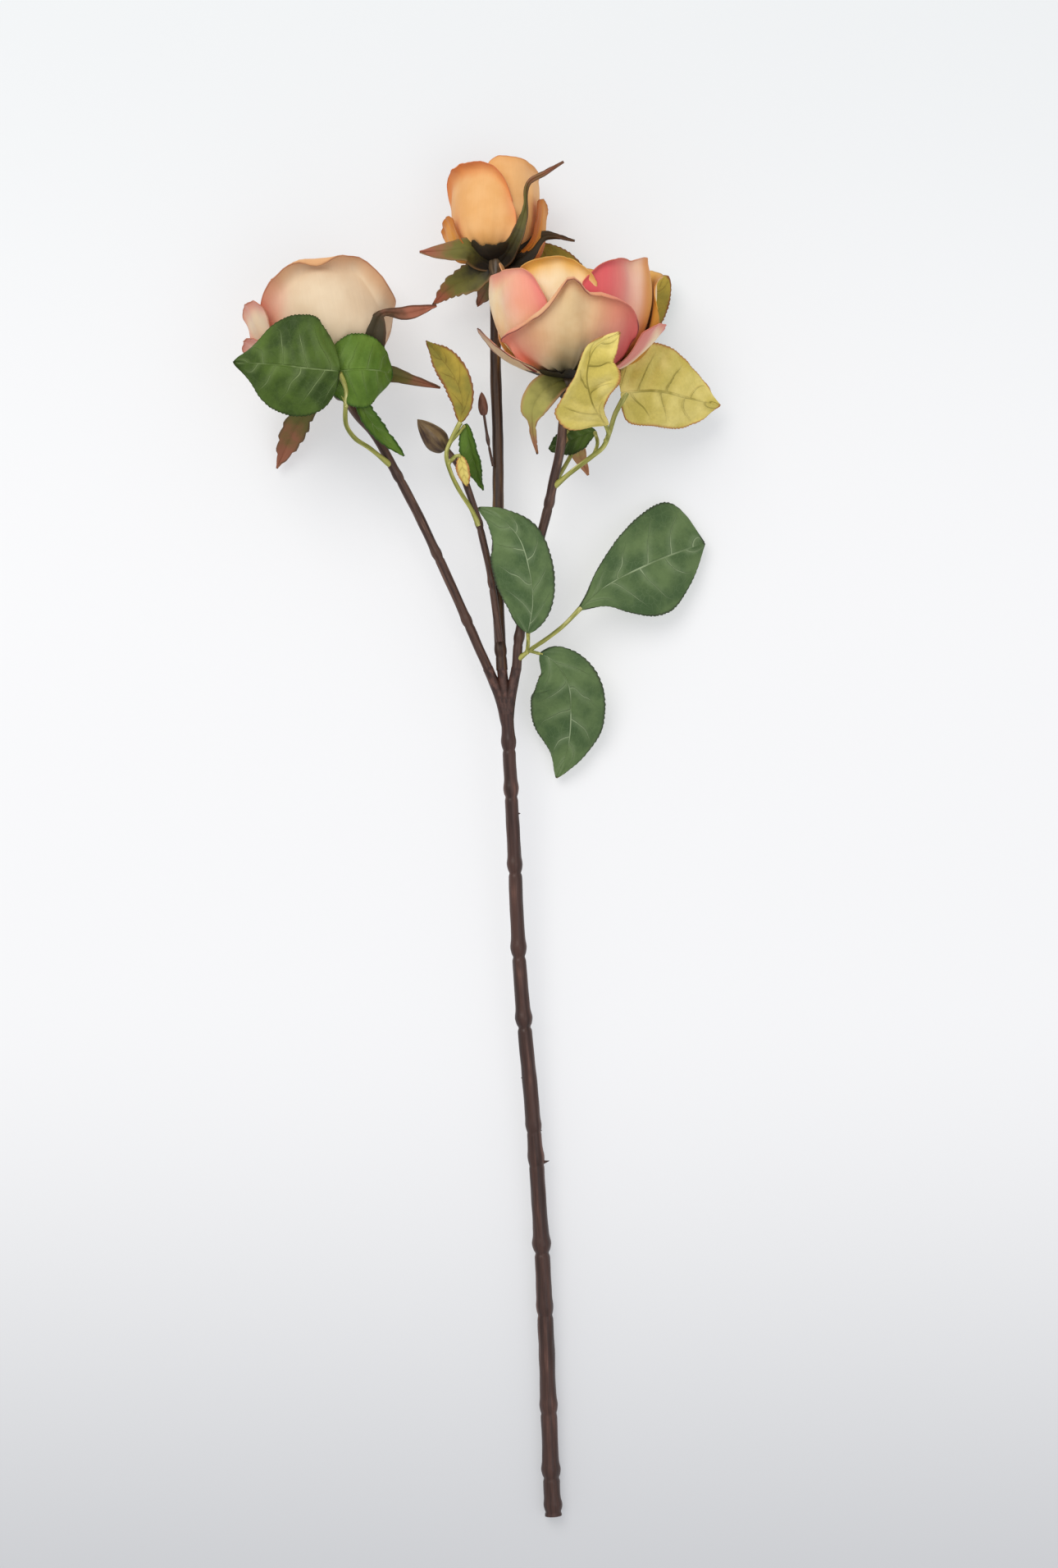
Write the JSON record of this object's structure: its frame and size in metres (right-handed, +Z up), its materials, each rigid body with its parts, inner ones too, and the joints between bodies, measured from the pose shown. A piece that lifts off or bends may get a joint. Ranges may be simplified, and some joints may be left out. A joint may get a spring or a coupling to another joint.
{
  "type": "cut rose",
  "caption": "Artificial cut rose spray lying down, with a long knuckled brown stem, shoots ending in cupped roses, closed buds and toothed leaves.",
  "frame": {"origin": "centre of the footprint on the surface the spray lies on", "axes": "+Y from the stem's cut end towards the blooms, +Z up from the surface, +X to the right seen from above"},
  "size_m": [0.2077, 0.5912, 0.0815],
  "materials": {
    "bark": "moulded brown bark with a low sheen, knuckles and small thorns",
    "shoot": "moulded grey-brown twig with darker streaks",
    "stalk": "moulded yellow-green leaf stalk",
    "leaf_green": "printed green cloth leaf with pale veins and a dark toothed edge",
    "leaf_olive": "pale olive underside of a cloth leaf with brown-pink edges",
    "calyx": "moulded green and brown sepals on a small hip",
    "petal_cream": "cream cloth petal with pink margins and a thin brown rim",
    "petal_orange": "orange cloth petal with a deeper pink-orange margin",
    "petal_tan": "tan and pink cloth petal with a deep pink margin",
    "bud": "moulded brown-green closed bud"
  },
  "bodies": {
    "root": {"main_stem": "bark", "left_shoot": "shoot", "centre_shoot": "shoot", "right_shoot": "shoot", "bud_shoot": "shoot", "bud_twig": "shoot", "petiole_left": "stalk", "petiole_bud": "stalk", "petiole_right": "stalk", "petiole_low": "stalk", "petiole_behind": "stalk", "left_rose_petal_front": "petal_cream", "left_rose_petal_side": "petal_cream", "left_rose_petal_back_right": "petal_cream", "left_rose_petal_back_left": "petal_cream", "left_rose_petal_outer_upper": "petal_cream", "left_rose_petal_outer_lower": "petal_cream", "left_rose_petal_inner_right": "petal_cream", "left_rose_petal_inner_left": "petal_cream", "left_rose_petal_inner_back": "petal_cream", "left_rose_core": "petal_cream", "left_rose_calyx": "calyx", "top_rose_petal_front": "petal_orange", "top_rose_petal_side": "petal_orange", "top_rose_petal_back": "petal_orange", "top_rose_petal_outer_left": "petal_orange", "top_rose_petal_outer_right": "petal_orange", "top_rose_petal_inner_left": "petal_orange", "top_rose_petal_inner_right": "petal_orange", "top_rose_core": "petal_orange", "top_rose_calyx": "calyx", "right_rose_petal_front": "petal_tan", "right_rose_petal_left": "petal_tan", "right_rose_petal_right_outer": "petal_tan", "right_rose_petal_back_left": "petal_tan", "right_rose_petal_back_right": "petal_tan", "right_rose_petal_outer_left": "petal_tan", "right_rose_petal_outer_right": "petal_tan", "right_rose_petal_arch": "petal_tan", "right_rose_petal_right_inner": "petal_tan", "right_rose_petal_inner_left": "petal_tan", "right_rose_petal_inner_back": "petal_tan", "right_rose_core": "petal_tan", "right_rose_calyx": "calyx", "dark_bud": "bud", "small_bud": "bud", "leaf_left_big": "leaf_green", "leaf_left_round": "leaf_green", "leaf_left_narrow": "leaf_green", "leaf_bud_upper": "leaf_olive", "leaf_bud_lower": "leaf_green", "leaf_bud_small": "leaf_olive", "leaf_right_upper": "leaf_olive", "leaf_right_broad": "leaf_olive", "leaf_right_low": "leaf_green", "leaf_low_upper": "leaf_green", "leaf_low_right": "leaf_green", "leaf_low_bottom": "leaf_green", "leaf_behind_right": "leaf_green", "leaf_behind_top": "leaf_green"}
  },
  "joints": []
}
